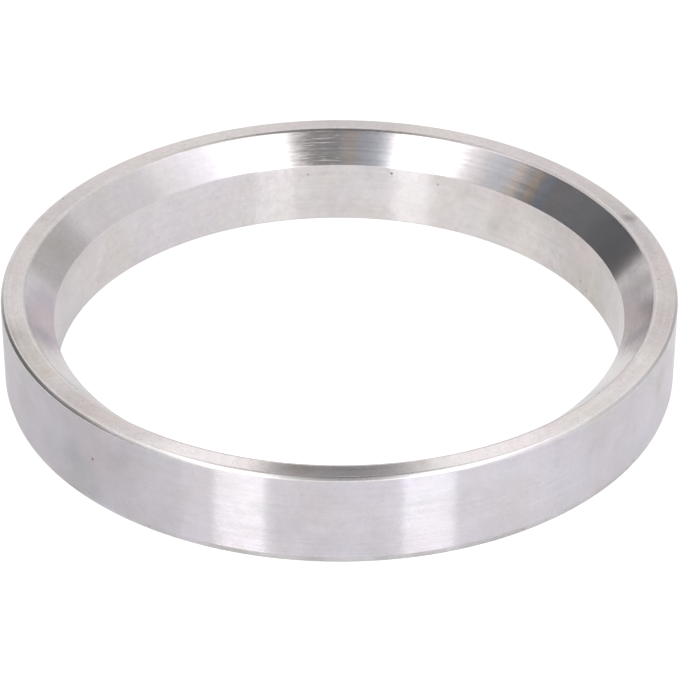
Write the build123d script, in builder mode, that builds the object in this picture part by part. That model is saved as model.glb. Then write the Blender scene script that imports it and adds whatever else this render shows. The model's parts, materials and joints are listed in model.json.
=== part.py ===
from build123d import *
import os
from math import radians, tan

# Hub centric ring: one plain ring turned from aluminium bar. It fills the gap between a wheel's
# centre bore and the smaller register on the vehicle's hub, so that the wheel sits true to the axle.
# It lies flat on its wheel end, with the coned mouth that guides it over the hub facing up.

# Driving dimensions, in millimetres and degrees
bore_diameter = 93.1     # the straight bore that slides on the hub's register
wall = 8.5               # from the bore to the outside, which makes the outside 110.1 for the wheel
ring_width = 15.6        # along the axis
face_land = 3.2          # flat left on the mouth end, between its edge break and the cone
mouth_angle = 45.0       # slope of the cone, from the axis
edge_break = 0.5         # 45 degree chamfer round the outside of the mouth end
lead_in_length = 1.05    # taper round the end that goes into the wheel first
lead_in_angle = 15.0     # slope of that taper, from the axis
lip_radius = 0.15        # the cone's sharp rim, taken off with a file
bore_break = 0.2         # 45 degree chamfer where the bore meets the wheel end

# Radii and depths that follow from them
bore_radius = bore_diameter / 2
outside_radius = bore_radius + wall
mouth_radius = outside_radius - edge_break - face_land
mouth_depth = (mouth_radius - bore_radius) / tan(radians(mouth_angle))
lead_in_radius = outside_radius - lead_in_length * tan(radians(lead_in_angle))

# The ring: half its section, drawn in the plane of the axis and turned once round it
with BuildPart() as hub_ring:
    with BuildSketch(Plane.XZ):
        with BuildLine():
            Polyline(
                (bore_radius, 0),
                (lead_in_radius, 0),
                (outside_radius, lead_in_length),
                (outside_radius, ring_width),
                (mouth_radius, ring_width),
                (bore_radius, ring_width - mouth_depth),
                close=True,
            )
        make_face()
    revolve(axis=Axis.Z)

    # Edges that the lathe hand breaks before the ring is parted off and after it is turned round
    round_edges = hub_ring.edges().filter_by(GeomType.CIRCLE)
    mouth_end = round_edges.group_by(Axis.Z)[-1].sort_by(SortBy.RADIUS)
    wheel_end = round_edges.group_by(Axis.Z)[0].sort_by(SortBy.RADIUS)
    chamfer(mouth_end[-1], length=edge_break)
    chamfer(wheel_end[0], length=bore_break)
    mouth_rim = hub_ring.edges().filter_by(GeomType.CIRCLE).group_by(Axis.Z)[-1].sort_by(SortBy.RADIUS)[0]
    fillet(mouth_rim, radius=lip_radius)

os.makedirs("parts", exist_ok=True)
hub_ring.part.label = "hub_centric_ring"
export_step(hub_ring.part, "parts/hub_centric_ring.step")
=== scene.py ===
import bmesh
import bpy
import json
from math import cos, pi, radians, sin, tan
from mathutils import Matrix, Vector


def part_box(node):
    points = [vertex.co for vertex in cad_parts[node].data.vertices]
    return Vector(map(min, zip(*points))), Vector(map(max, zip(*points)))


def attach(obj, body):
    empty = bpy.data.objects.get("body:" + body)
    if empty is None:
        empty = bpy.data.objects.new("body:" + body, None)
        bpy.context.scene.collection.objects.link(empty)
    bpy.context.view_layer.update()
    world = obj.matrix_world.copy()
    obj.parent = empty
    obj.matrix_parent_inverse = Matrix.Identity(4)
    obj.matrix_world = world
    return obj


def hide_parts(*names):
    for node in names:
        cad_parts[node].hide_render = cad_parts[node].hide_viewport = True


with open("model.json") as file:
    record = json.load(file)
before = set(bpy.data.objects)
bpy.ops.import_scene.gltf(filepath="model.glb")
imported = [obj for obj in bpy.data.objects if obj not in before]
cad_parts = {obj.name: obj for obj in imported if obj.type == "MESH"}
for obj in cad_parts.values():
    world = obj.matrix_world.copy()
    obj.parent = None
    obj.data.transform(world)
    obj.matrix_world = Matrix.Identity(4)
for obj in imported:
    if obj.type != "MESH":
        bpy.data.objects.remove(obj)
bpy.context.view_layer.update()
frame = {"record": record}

# The ring is one piece of aluminium, turned and bored on a lathe: a straight bore with a coned mouth, a flat
# land round the mouth's rounded lip, a broken outer edge, and a short lead-in round the end it stands on.
# Its section is cut out of a flat strip, its corners are rounded, and it is turned once round the axis.
mm = 0.001
mounts = {mount["name"]: mount for mount in frame["record"]["mounts"]}
ring_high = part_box("hub_centric_ring")[1]
outside_radius = ring_high.x
ring_width = ring_high.z
bore_radius = mounts["hub_bore"]["dims"]["r_mm"] * mm
wall = outside_radius - bore_radius
edge_break = 0.5 * mm
face_land = 3.2 * mm
mouth_radius = outside_radius - edge_break - face_land
bore_top = ring_width - (mouth_radius - bore_radius)
lip_round = 0.44 * mm
cone_foot_round = 0.10 * mm
edge_land = 0.58 * mm
edge_drop = 0.50 * mm
edge_land_round = 0.20 * mm
edge_drop_round = 0.14 * mm
lead_in_length = 1.05 * mm
lead_in_angle = radians(15)
lead_in_round = 0.08 * mm
foot_radius = outside_radius - lead_in_length * tan(lead_in_angle)
foot_round = 0.10 * mm
bore_break = 0.2 * mm

bpy.ops.object.select_all(action="DESELECT")
bpy.ops.mesh.primitive_plane_add(
    size=1,
    location=(bore_radius + wall / 2, 0, ring_width / 2),
    rotation=(pi / 2, 0, 0),
)
ring = bpy.context.object
ring.name = "turned_ring"
ring.scale = (wall, ring_width, 1)
bpy.ops.object.transform_apply(location=True, rotation=True, scale=True)
bpy.ops.object.mode_set(mode="EDIT")
bpy.ops.mesh.select_mode(type="VERT")


def cut_corner(radius, height, outward, upward):
    """Takes off what lies outside a straight cut through one point of the section."""
    bpy.ops.mesh.select_all(action="SELECT")
    bpy.ops.mesh.bisect(
        plane_co=(radius, 0, height),
        plane_no=Vector((outward, 0, upward)).normalized(),
        clear_outer=True,
    )


def round_corner(radius, height, amount, steps=4):
    """Rounds the section's corner at one point, as a file or a stone leaves it."""
    section = bmesh.from_edit_mesh(ring.data)
    corner = min(section.verts, key=lambda point: (point.co - Vector((radius, 0, height))).length)
    bpy.ops.mesh.select_all(action="DESELECT")
    corner.select_set(True)
    section.select_flush(True)
    bmesh.update_edit_mesh(ring.data)
    bpy.ops.mesh.bevel(affect="VERTICES", offset=amount, segments=steps)


cut_corner(mouth_radius, ring_width, -1, 1)
cut_corner(outside_radius, ring_width - edge_drop, edge_drop, edge_land)
cut_corner(outside_radius, lead_in_length, cos(lead_in_angle), -sin(lead_in_angle))
cut_corner(bore_radius + bore_break, 0, -1, -1)

round_corner(mouth_radius, ring_width, lip_round, steps=10)
round_corner(bore_radius, bore_top, cone_foot_round)
round_corner(outside_radius - edge_land, ring_width, edge_land_round, steps=6)
round_corner(outside_radius, ring_width - edge_drop, edge_drop_round, steps=6)
round_corner(outside_radius, lead_in_length, lead_in_round)
round_corner(foot_radius, 0, foot_round)

turning_steps = 480
seam_gap = 0.001 * mm
bpy.ops.mesh.select_all(action="SELECT")
bpy.ops.mesh.delete(type="ONLY_FACE")
bpy.ops.mesh.select_all(action="SELECT")
bpy.ops.mesh.spin(steps=turning_steps, angle=2 * pi, center=(0, 0, 0), axis=(0, 0, 1))
bpy.ops.mesh.select_all(action="SELECT")
bpy.ops.mesh.remove_doubles(threshold=seam_gap)
bpy.ops.mesh.normals_make_consistent(inside=False)
bpy.ops.object.mode_set(mode="OBJECT")
bpy.ops.object.shade_smooth()
flats = ring.modifiers.new("flats", "WEIGHTED_NORMAL")
flats.weight = 100
bpy.ops.object.modifier_apply(modifier=flats.name)


def add_node(finish, kind, inputs, **settings):
    """Adds a node to a material. Each input is a plain value or another node's output."""
    node = finish.node_tree.nodes.new("ShaderNode" + kind)
    for setting, value in settings.items():
        setattr(node, setting, value)
    for socket, value in inputs.items():
        if isinstance(value, bpy.types.NodeSocket):
            finish.node_tree.links.new(value, node.inputs[socket])
        else:
            node.inputs[socket].default_value = value
    return node


def maths(finish, operation, *values):
    """A number that the material works out from others."""
    return add_node(finish, "Math", dict(enumerate(values)), operation=operation).outputs[0]


def vectors(finish, operation, *values):
    """A vector that the material works out from others."""
    return add_node(finish, "VectorMath", dict(enumerate(values)), operation=operation).outputs[0]


def scaled(finish, vector, scale):
    """A vector or a colour times a number."""
    return add_node(finish, "VectorMath", {0: vector, "Scale": scale}, operation="SCALE").outputs[0]


def away_from(finish, place, middle):
    """How far a place is from a point."""
    return add_node(finish, "VectorMath", {0: place, 1: middle}, operation="DISTANCE").outputs["Value"]


def noise(finish, place, scale, detail, rough=0.5):
    """Cloudy noise. The first output is a level and the second a colour."""
    inputs = {"Vector": place, "Scale": scale, "Detail": detail, "Roughness": rough}
    return add_node(finish, "TexNoise", inputs).outputs


def between(finish, value, low, high, to_low=0.0, to_high=1.0):
    """Takes a value smoothly from one range to another, and holds it at the ends."""
    inputs = {"Value": value, "From Min": low, "From Max": high, "To Min": to_low, "To Max": to_high}
    return add_node(finish, "MapRange", inputs, interpolation_type="SMOOTHSTEP").outputs[0]


def laid_over(finish, under, colour, share):
    """A share of one colour laid over another."""
    inputs = {"Factor": share, 6: under, 7: (*colour, 1)}
    return add_node(finish, "Mix", inputs, data_type="RGBA").outputs[2]


def ring_places(finish):
    """A point's place, its direction from the axis, and a number for the turning line it lies on."""
    height_share = 1.3
    place = add_node(finish, "TexCoord", {}).outputs["Object"]
    point = add_node(finish, "SeparateXYZ", {0: place}).outputs
    flat = add_node(finish, "CombineXYZ", {0: point[0], 1: point[1]}).outputs[0]
    radius = add_node(finish, "VectorMath", {0: flat}, operation="LENGTH").outputs["Value"]
    line = maths(finish, "MULTIPLY_ADD", point[2], height_share, radius)
    return place, vectors(finish, "NORMALIZE", flat), line


def streaks(finish, around, line, turns, lines):
    """Noise that is drawn out along the turning lines."""
    along = vectors(finish, "MULTIPLY", around, (turns, turns, 0))
    track = add_node(finish, "CombineXYZ", {2: maths(finish, "MULTIPLY", line, lines)}).outputs[0]
    return noise(finish, vectors(finish, "ADD", along, track), scale=1, detail=3, rough=0.6)[0]


def feed_mark_normal(finish, round_axis, line, turning, lean, scallop, waver):
    """The way the metal faces: the flanks of its feed marks lean by lean, give or take scallop."""
    marks_per_metre = 10000
    surface = add_node(finish, "NewGeometry", {}).outputs["Normal"]
    across = vectors(finish, "CROSS_PRODUCT", surface, round_axis)
    flank = maths(finish, "FRACT", maths(finish, "MULTIPLY", line, marks_per_metre))
    flank_range = {"Value": flank, "To Min": lean - scallop, "To Max": lean + scallop}
    flank_slope = add_node(finish, "MapRange", flank_range).outputs[0]
    uneven = between(finish, turning, 0.3, 0.7, -waver, waver)
    tipped = scaled(finish, across, maths(finish, "ADD", flank_slope, uneven))
    return vectors(finish, "NORMALIZE", vectors(finish, "ADD", surface, tipped))


def pit_depth(finish, place, pits):
    """How deep a place lies in a pit, from 0 to 1. Each pit is a point and a size."""
    depth = 0.0
    for middle, size in pits:
        grain = noise(finish, place, scale=6000, detail=2)[0]
        ragged = maths(finish, "MULTIPLY_ADD", grain, 0.5 * size, away_from(finish, place, middle))
        hollow = between(finish, ragged, 0.45 * size, 1.25 * size, 1, 0)
        depth = maths(finish, "MAXIMUM", depth, hollow)
    return depth


def stained_and_shaded_colour(finish, place, around, colour, stains_and_painted_shade, tints_and_sheen_by_bearing):
    """Adds stains and painted shade, each a point, a size, a strength and a colour, and bands of tint and
    painted sheen, each at an angle instead.
    """
    for middle, size, strength, patch_colour in stains_and_painted_shade:
        cloud = noise(finish, place, scale=500, detail=4, rough=0.6)[0]
        spread = maths(finish, "MULTIPLY_ADD", cloud, 1.2 * size, away_from(finish, place, middle))
        covered = between(finish, spread, 0.5 * size, 1.7 * size, 1, 0)
        colour = laid_over(finish, colour, patch_colour, maths(finish, "MULTIPLY", covered, strength))
    for angle, width, strength, band in tints_and_sheen_by_bearing:
        bearing = (cos(radians(angle)), sin(radians(angle)), 0)
        turn = away_from(finish, around, bearing)
        covered = between(finish, turn, 0.3 * radians(width), radians(width), 1, 0)
        colour = laid_over(finish, colour, band, maths(finish, "MULTIPLY", covered, strength))
    return colour


def turned_finish(
    name, metal, roughness, stretch, lean, scallop, waver, film, film_share, mottle, pepper,
    scuffs=(), pits=(), stains_and_painted_shade=(), tints_and_sheen_by_bearing=(),
):
    """Turned aluminium, smoother along its feed marks than across them, under a thin film in patches.

    Mottle and pepper are its blotches and dark specks. Each scuff is a worn patch: a point, a size and
    how much duller its scratches and dents are.
    """
    pit_sink = 0.12 * mm
    pit_shade = 0.25
    film_dulling = 0.03
    finish = bpy.data.materials.new(name)
    finish.use_nodes = True
    links = finish.node_tree.links
    shader = finish.node_tree.nodes["Principled BSDF"]
    round_axis = add_node(finish, "Tangent", {}, direction_type="RADIAL", axis="Z").outputs["Tangent"]
    place, around, line = ring_places(finish)
    turning = streaks(finish, around, line, turns=1.7, lines=1500)
    facing = feed_mark_normal(finish, round_axis, line, turning, lean, scallop, waver)

    patches = noise(finish, place, scale=130, detail=5, rough=0.62)[0]
    film_mask = maths(finish, "MULTIPLY", between(finish, patches, 0.38, 0.66), film_share)
    colour = laid_over(finish, (*metal, 1), film, film_mask)
    colour = stained_and_shaded_colour(finish, place, around, colour, stains_and_painted_shade, tints_and_sheen_by_bearing)
    cloud = noise(finish, place, scale=900, detail=5, rough=0.75)[0]
    blotches = between(finish, cloud, 0.3, 0.7, 1 - mottle, 1 + mottle)
    grain = noise(finish, place, scale=2600, detail=3, rough=0.7)[0]
    specks = between(finish, grain, 0.57, 0.74, 1.0, 1.0 - pepper)
    drawn = between(finish, turning, 0.3, 0.7, 0.98, 1.02)
    level = maths(finish, "MULTIPLY", maths(finish, "MULTIPLY", blotches, specks), drawn)
    if pits:
        depth = pit_depth(finish, place, pits)
        hollows = {"Height": depth, "Distance": -pit_sink, "Strength": 1, "Normal": facing}
        facing = add_node(finish, "Bump", hollows).outputs[0]
        level = maths(finish, "MULTIPLY", level, between(finish, depth, 0.0, 1.0, 1.0, pit_shade))
    hue = noise(finish, place, scale=90, detail=3)[1]
    tint = vectors(finish, "MULTIPLY_ADD", hue, (0.10, 0.07, 0.12), (0.95, 0.965, 0.94))
    links.new(vectors(finish, "MULTIPLY", scaled(finish, colour, level), tint), shader.inputs["Base Color"])
    links.new(facing, shader.inputs["Normal"])

    dull = maths(finish, "MULTIPLY_ADD", film_mask, film_dulling, roughness)
    for middle, size, amount in scuffs:
        scratches = between(finish, streaks(finish, around, line, turns=11, lines=2600), 0.52, 0.70)
        dents = between(finish, noise(finish, place, scale=1700, detail=4, rough=0.75)[0], 0.60, 0.74)
        rubbed = between(finish, away_from(finish, place, middle), 0.8 * size, size, amount, 0)
        dull = maths(finish, "MULTIPLY_ADD", maths(finish, "MAXIMUM", scratches, dents), rubbed, dull)
    links.new(dull, shader.inputs["Roughness"])
    links.new(round_axis, shader.inputs["Tangent"])
    shader.inputs["Metallic"].default_value = 1
    shader.inputs["Anisotropic"].default_value = stretch
    shader.inputs["Anisotropic Rotation"].default_value = 0.25
    return finish


def spot(angle, radius, height):
    """A point of the ring. Angle 0 is at the right, 90 at the back, 270 at the front."""
    return Vector((cos(radians(angle)) * radius, sin(radians(angle)) * radius, height))


ring.data.materials.append(turned_finish(
    "turned outside",
    metal=(0.745, 0.705, 0.76), roughness=0.17, stretch=1.0,
    lean=0.10, scallop=0.6, waver=0.012,
    film=(0.685, 0.645, 0.675), film_share=0.7, mottle=0.02, pepper=0.16,
    pits=[
        (spot(226.5, outside_radius, 8.5 * mm), 0.35 * mm),
        (spot(327.7, 55.0 * mm, 1.0 * mm), 0.3 * mm),
    ],
    stains_and_painted_shade=[
        # The three stains from 205 to 232 degrees are partly real blotches and partly painted shade that
        # darkens the left of the wall.
        (spot(205, outside_radius, 8 * mm), 4.0 * mm, 0.35, (0.62, 0.59, 0.61)),
        (spot(222, outside_radius, 7 * mm), 4.5 * mm, 0.55, (0.55, 0.53, 0.55)),
        (spot(232, outside_radius, 11 * mm), 3.5 * mm, 0.45, (0.58, 0.555, 0.58)),
        (spot(337, outside_radius, 10 * mm), 4.0 * mm, 0.45, (0.58, 0.56, 0.58)),
    ],
))
ring.data.materials.append(turned_finish(
    "faced land",
    metal=(0.815, 0.76, 0.755), roughness=0.29, stretch=1.0,
    lean=-0.35, scallop=0.1, waver=0.05,
    film=(0.76, 0.69, 0.68), film_share=0.7, mottle=0.05, pepper=0.34,
    pits=[
        (spot(12.5, 51.7 * mm, ring_width), 0.25 * mm),
        (spot(170.8, 51.6 * mm, ring_width), 0.3 * mm),
        (spot(150.4, 54.1 * mm, ring_width), 0.22 * mm),
        (spot(1.4, 52.2 * mm, ring_width), 0.2 * mm),
        (spot(52.1, 54.3 * mm, ring_width), 0.22 * mm),
    ],
    stains_and_painted_shade=[
        (spot(23, 53 * mm, ring_width), 1.8 * mm, 0.95, (0.50, 0.45, 0.43)),
        (spot(197, 54 * mm, ring_width), 3.0 * mm, 0.65, (0.65, 0.58, 0.55)),
        (spot(210, 53 * mm, ring_width), 3.4 * mm, 0.65, (0.66, 0.59, 0.56)),
        (spot(158, 54 * mm, ring_width), 2.2 * mm, 0.4, (0.68, 0.61, 0.58)),
        (spot(249, 53 * mm, ring_width), 9.0 * mm, 0.6, (0.795, 0.745, 0.785)),
        (spot(273, 53 * mm, ring_width), 8.0 * mm, 0.7, (0.715, 0.685, 0.735)),
        (spot(263.5, 53.3 * mm, ring_width), 2.4 * mm, 0.55, (0.72, 0.60, 0.555)),
        (spot(284, 52.6 * mm, ring_width), 1.4 * mm, 0.45, (0.66, 0.57, 0.55)),
    ],
))
cone_middle = (49 * mm, 13.2 * mm)
ring.data.materials.append(turned_finish(
    "bored mouth",
    metal=(0.825, 0.78, 0.79), roughness=0.175, stretch=0.4,
    lean=0.063, scallop=0.0, waver=0.012,
    film=(0.765, 0.71, 0.71), film_share=0.6, mottle=0.03, pepper=0.06,
    scuffs=[(spot(94, *cone_middle), 5.5 * mm, 0.15)],
    # The stains at 179, 195, 345 and 7.5 degrees are painted shade, darker where the mouth reflects dark
    # parts of the room.
    stains_and_painted_shade=[
        (spot(163, *cone_middle), 4.0 * mm, 0.6, (0.72, 0.65, 0.61)),
        (spot(179, *cone_middle), 5.0 * mm, 0.6, (0.62, 0.62, 0.70)),
        (spot(195, *cone_middle), 5.0 * mm, 0.8, (0.50, 0.50, 0.57)),
        (spot(345, *cone_middle), 5.0 * mm, 0.8, (0.46, 0.47, 0.54)),
        (spot(7.5, *cone_middle), 3.2 * mm, 0.6, (0.56, 0.56, 0.60)),
    ],
    # The bands are painted by bearing: the narrow coloured ones are painted sheen, the rainbow fringes of the
    # feed marks, and the broad ones tint the mouth bluish or lilac.
    tints_and_sheen_by_bearing=[
        (28, 18, 0.6, (0.78, 0.79, 0.86)),
        (43.5, 2.2, 0.6, (0.70, 0.76, 0.95)),
        (46.8, 1.6, 0.6, (0.98, 0.82, 0.68)),
        (50.8, 1.4, 0.6, (0.92, 0.80, 0.70)),
        (55.5, 3.5, 0.6, (0.86, 0.89, 0.97)),
        (83, 4.5, 0.6, (0.80, 0.83, 0.92)),
        (87.8, 1.6, 0.6, (0.90, 0.78, 0.68)),
        (119, 13, 0.7, (0.785, 0.74, 0.82)),
        (136, 8, 0.5, (0.79, 0.745, 0.80)),
    ],
))
ring.data.materials.append(turned_finish(
    "straight bore",
    metal=(0.845, 0.80, 0.81), roughness=0.2, stretch=0.95,
    lean=-0.03, scallop=0.42, waver=0.02,
    film=(0.75, 0.705, 0.69), film_share=0.65, mottle=0.035, pepper=0.18,
    pits=[
        (spot(78.7, bore_radius, 9.7 * mm), 0.3 * mm),
        (spot(68.3, bore_radius, 8.9 * mm), 0.2 * mm),
        (spot(96.9, bore_radius, 9.1 * mm), 0.2 * mm),
        (spot(25.2, bore_radius, 1.7 * mm), 0.25 * mm),
        (spot(27.7, bore_radius, 2.5 * mm), 0.25 * mm),
    ],
    stains_and_painted_shade=[
        (spot(28, bore_radius, 5 * mm), 17.0 * mm, 0.9, (0.655, 0.61, 0.59)),
        (spot(55, bore_radius, 3.5 * mm), 2.2 * mm, 0.5, (0.64, 0.60, 0.60)),
        (spot(127, bore_radius, 5 * mm), 20.0 * mm, 0.6, (0.795, 0.765, 0.83)),
    ],
))
ring.data.materials.append(turned_finish(
    "broken edge",
    metal=(0.785, 0.75, 0.76), roughness=0.27, stretch=0.0,
    lean=0.0, scallop=0.0, waver=0.03,
    film=(0.70, 0.66, 0.65), film_share=0.7, mottle=0.03, pepper=0.10,
))
# This darker finish goes on the lead-in, the foot and the bore's bottom break: partly dirt and partly painted
# shade where the ring meets the table.
ring.data.materials.append(turned_finish(
    "dirty lead-in in painted shade",
    metal=(0.70, 0.68, 0.70), roughness=0.25, stretch=0.9,
    lean=0.0, scallop=0.2, waver=0.03,
    film=(0.58, 0.55, 0.55), film_share=0.8, mottle=0.05, pepper=0.35,
    pits=[
        (spot(327.7, 55.0 * mm, 1.0 * mm), 0.3 * mm),
        (spot(238, 54.9 * mm, 0.6 * mm), 0.2 * mm),
        (spot(301, 54.9 * mm, 0.5 * mm), 0.2 * mm),
    ],
))
ring.data.materials.append(turned_finish(
    "filed lip",
    metal=(0.69, 0.65, 0.645), roughness=0.26, stretch=0.0,
    lean=0.0, scallop=0.0, waver=0.03,
    film=(0.63, 0.585, 0.575), film_share=0.7, mottle=0.04, pepper=0.25,
))

level_upward = 0.995
lip_upward = 0.73
edge_reach = 0.1 * mm
edge_inside = outside_radius - edge_land - edge_land_round
edge_bottom = ring_width - edge_drop - edge_reach
for face in ring.data.polygons:
    centre = face.center
    radius = Vector((centre.x, centre.y)).length
    if face.normal.z > level_upward:
        finish_name = "faced land"
    elif centre.z > edge_bottom and radius > edge_inside:
        finish_name = "broken edge"
    elif centre.z > bore_top and radius < mouth_radius + lip_round:
        finish_name = "filed lip" if face.normal.z > lip_upward else "bored mouth"
    elif radius < bore_radius + bore_break and centre.z > bore_break:
        finish_name = "straight bore"
    elif centre.z < lead_in_length:
        finish_name = "dirty lead-in in painted shade"
    else:
        finish_name = "turned outside"
    face.material_index = ring.data.materials.find(finish_name)

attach(ring, "root")
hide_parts("hub_centric_ring")

# The table is a plain white board that runs on out of view on every side, with a faint shadow of the ring.
# The metal shows it unevenly, with painted shade: near the ring it is darker at the left, and farther out at
# the right.
bpy.ops.mesh.primitive_circle_add(vertices=64, radius=4, fill_type="NGON")
table = bpy.context.object
table.name = "white_table"
camera_glow = 0.72
board = bpy.data.materials.new("white board")
board.use_nodes = True
board_shader = board.node_tree.nodes["Principled BSDF"]
board_shader.inputs["Base Color"].default_value = (0.6, 0.6, 0.6, 1)
board_shader.inputs["Roughness"].default_value = 1
board_shader.inputs["Specular IOR Level"].default_value = 0
board_shader.inputs["Emission Color"].default_value = (1, 1, 1, 1)


def shown_in_metal(finish, rays):
    """Is 1 for what metal or glass shows, and 0 otherwise."""
    return maths(finish, "MAXIMUM", rays["Is Glossy Ray"], rays["Is Transmission Ray"])


def graded(finish, value, low, high, to_low, to_high):
    """Takes a value evenly from one range to another."""
    inputs = {"Value": value, "From Min": low, "From Max": high, "To Min": to_low, "To Max": to_high}
    return add_node(finish, "MapRange", inputs).outputs[0]


board_rays = add_node(board, "LightPath", {}).outputs
board_place = add_node(board, "TexCoord", {}).outputs["Object"]
board_x = add_node(board, "SeparateXYZ", {0: board_place}).outputs[0]
board_out = add_node(board, "VectorMath", {0: board_place}, operation="LENGTH").outputs["Value"]
# Painted shade on the board, seen only in the metal: its glow is lower at the left near the ring and at the
# right farther out.
near_level_with_painted_shade = graded(board, board_x, -0.15, 0.15, 0.22, 0.52)
far_level_with_painted_shade = graded(board, board_x, -0.3, 0.3, 0.62, 0.38)
far_share = graded(board, board_out, 0.10, 0.22, 0, 1)
board_levels_with_painted_shade = {"Factor": far_share, 2: near_level_with_painted_shade, 3: far_level_with_painted_shade}
board_level_with_painted_shade = add_node(board, "Mix", board_levels_with_painted_shade, data_type="FLOAT").outputs[0]
metal_glow_with_painted_shade = maths(board, "MULTIPLY", shown_in_metal(board, board_rays), board_level_with_painted_shade)
board_glow = maths(board, "MULTIPLY_ADD", board_rays["Is Camera Ray"], camera_glow, metal_glow_with_painted_shade)
board.node_tree.links.new(board_glow, board_shader.inputs["Emission Strength"])
table.data.materials.append(board)

# The studio is a white room with a soft box on each side of the camera, whose head leans in towards the ring.
# Dark cards hang over the gap between the boxes and stand at the left, and grey ones stand round the rest.
# They are there for the metal to show: the camera sees none of them, and they throw no shadow.
room_fill = 0.6
room = bpy.data.worlds.new("white room")
bpy.context.scene.world = room
room.use_nodes = True
room_light = room.node_tree.nodes["Background"]
room_light.inputs["Color"].default_value = (1, 1, 1, 1)
room_rays = add_node(room, "LightPath", {}).outputs
room_seen = maths(room, "MAXIMUM", room_rays["Is Camera Ray"], shown_in_metal(room, room_rays))
room.node_tree.links.new(graded(room, room_seen, 0, 1, room_fill, 1.0), room_light.inputs["Strength"])


def hang_card(name, level, pairs, lit=False):
    """A card or a soft box, an even sheet between pairs of points. The camera doesn't see it."""
    paint = bpy.data.materials.new(name)
    paint.use_nodes = True
    coat = paint.node_tree.nodes["Principled BSDF"]
    coat.inputs["Base Color"].default_value = (0, 0, 0, 1)
    coat.inputs["Specular IOR Level"].default_value = 0
    coat.inputs["Emission Color"].default_value = (1, 1, 1, 1)
    coat.inputs["Emission Strength"].default_value = level
    sheet = bpy.data.meshes.new(name)
    strips = len(pairs) - 1
    sheet.from_pydata(
        [corner for pair in pairs for corner in pair], [],
        [(2 * strip, 2 * strip + 2, 2 * strip + 3, 2 * strip + 1) for strip in range(strips)],
    )
    sheet.materials.append(paint)
    card = bpy.data.objects.new(name, sheet)
    bpy.context.scene.collection.objects.link(card)
    card.visible_camera = False
    card.visible_shadow = False
    if not lit:
        card.visible_diffuse = False
        paint.cycles.emission_sampling = "NONE"


def place_at(azimuth, out, up):
    """A point round the ring. Azimuth 0 is behind it, 90 at its right and 180 at the camera."""
    turn = radians(azimuth)
    return (sin(turn) * out, cos(turn) * out, up)


def standing_card(name, level, azimuths, angles):
    """A card bent round the ring two metres out, between two azimuths and two angles over the table."""
    out = 2.0
    bends = 12
    first, last = azimuths
    low, high = [out * tan(radians(angle)) for angle in angles]
    turns = [first + (last - first) * bend / bends for bend in range(bends + 1)]
    hang_card(name, level, [(place_at(turn, out, low), place_at(turn, out, high)) for turn in turns])


# Each soft box has a foot that stands and a head that leans in. Places are out from the axis and up.
box_foot = (0.495, 0.085)
left_neck = (0.449, 0.377)
left_top = (0.385, 0.79)
hang_card("left_box_foot", 2.9, [
    (place_at(201.8, *box_foot), place_at(202.3, *left_neck)),
    (place_at(217, *box_foot), place_at(218, *left_neck)),
], lit=True)
hang_card("left_box_head", 2.25, [
    (place_at(203, *left_neck), place_at(203, *left_top)),
    (place_at(222, *left_neck), place_at(222, *left_top)),
    (place_at(234, 0.430, 0.500), place_at(234, *left_top)),
    (place_at(246, 0.413, 0.545), place_at(246, *left_top)),
    (place_at(276, 0.403, 0.540), place_at(276, *left_top)),
], lit=True)
right_neck = (0.440, 0.42)
right_top = (0.365, 0.86)
hang_card("right_box_foot", 2.5, [
    (place_at(161, *box_foot), place_at(160, *right_neck)),
    (place_at(145.5, *box_foot), place_at(144.5, *right_neck)),
], lit=True)
hang_card("right_box_head", 1.85, [
    (place_at(162, *right_neck), place_at(162, *right_top)),
    (place_at(131, *right_neck), place_at(131, *right_top)),
    (place_at(121, 0.425, 0.520), place_at(121, *right_top)),
    (place_at(108, 0.415, 0.515), place_at(108, *right_top)),
    (place_at(98, 0.410, 0.450), place_at(98, *right_top)),
    (place_at(80, 0.405, 0.420), place_at(80, *right_top)),
], lit=True)

# The cards over the gap hang level. The front two meet in the middle, and the third goes on to the back.
gap_height = 0.555
gap_front = -0.46
gap_bend = -0.20
gap_split = -0.01
gap_left = -0.145
gap_right = 0.143
hang_card("front_gap_left_card", 0.27, [
    ((-0.196, gap_front, gap_height), (gap_split, gap_front, gap_height)),
    ((gap_left, gap_bend, gap_height), (gap_split, gap_bend, gap_height)),
])
hang_card("front_gap_right_card", 0.15, [
    ((gap_split, gap_front, gap_height), (0.172, gap_front, gap_height)),
    ((gap_split, gap_bend, gap_height), (gap_right, gap_bend, gap_height)),
])
hang_card("gap_card", 0.04, [
    ((gap_left, gap_bend, gap_height), (gap_right, gap_bend, gap_height)),
    ((-0.118, 0.00, gap_height), (0.122, 0.00, gap_height)),
    ((-0.076, 0.252, gap_height), (0.098, 0.252, gap_height)),
])

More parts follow.
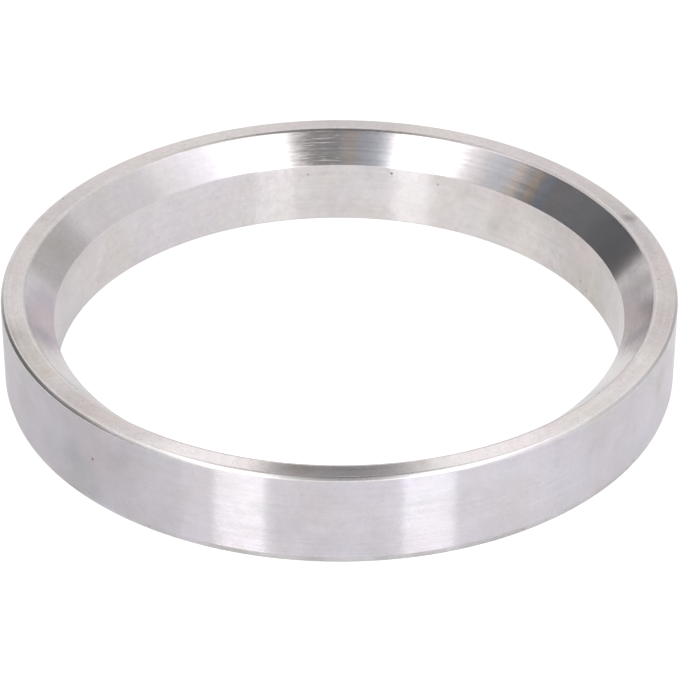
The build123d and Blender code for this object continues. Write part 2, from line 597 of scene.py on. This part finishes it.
standing_card("left_card", 0.12, azimuths=(258, 285), angles=(3.0, 41))
standing_card("left_step_card", 0.11, azimuths=(285, 293), angles=(3.0, 35))
standing_card("left_far_card", 0.11, azimuths=(293, 306), angles=(3.0, 30))
standing_card("left_back_card", 0.10, azimuths=(306, 317), angles=(3.0, 33))
standing_card("left_high_card", 0.69, azimuths=(300, 330), angles=(41, 59))
standing_card("left_mid_card", 0.38, azimuths=(245, 258), angles=(3.0, 46))
standing_card("left_front_card", 0.62, azimuths=(229, 245), angles=(3.0, 48))
standing_card("front_card", 0.84, azimuths=(166, 200), angles=(0.2, 36))
standing_card("back_left_card", 0.83, azimuths=(328, 346), angles=(0.2, 33))
standing_card("back_corner_card", 0.83, azimuths=(317, 328), angles=(7, 33))
standing_card("back_corner_foot", 0.40, azimuths=(317, 328), angles=(0.2, 7))
standing_card("back_right_card", 0.78, azimuths=(14, 37), angles=(0.2, 35.5))
standing_card("right_card", 0.50, azimuths=(37, 62), angles=(0.2, 26))
standing_card("right_front_card", 0.72, azimuths=(62, 88), angles=(0.2, 40))
standing_card("right_near_card", 0.67, azimuths=(88, 99), angles=(0.2, 40))
standing_card("right_edge_card", 0.80, azimuths=(99, 112), angles=(0.2, 44))

# The camera looks down on the ring from the front with a long lens.
# Its place, tilt and lens were fitted to the ring's edges in the photograph.
camera_tilt = 0.5769
camera_turn = 0.0022
camera_distance = 9.5674 * outside_radius
camera_right = 0.0022 * outside_radius
camera_up = 0.0674 * outside_radius
image_size = 680
lens_pixels = 3178.2
lens_data = bpy.data.cameras.new("camera")
lens_data.sensor_width = 36
lens_data.lens = lens_pixels * lens_data.sensor_width / image_size
camera = bpy.data.objects.new("camera", lens_data)
bpy.context.scene.collection.objects.link(camera)
camera.location = (
    camera_right,
    -camera_distance * cos(camera_tilt) + camera_up * sin(camera_tilt),
    camera_distance * sin(camera_tilt) + camera_up * cos(camera_tilt),
)
camera.rotation_mode = "ZYX"
camera.rotation_euler = (pi / 2 - camera_tilt, 0, camera_turn)
bpy.context.scene.camera = camera
bpy.context.scene.view_settings.view_transform = "Standard"

# The scene is brought up to date.
bpy.context.view_layer.update()
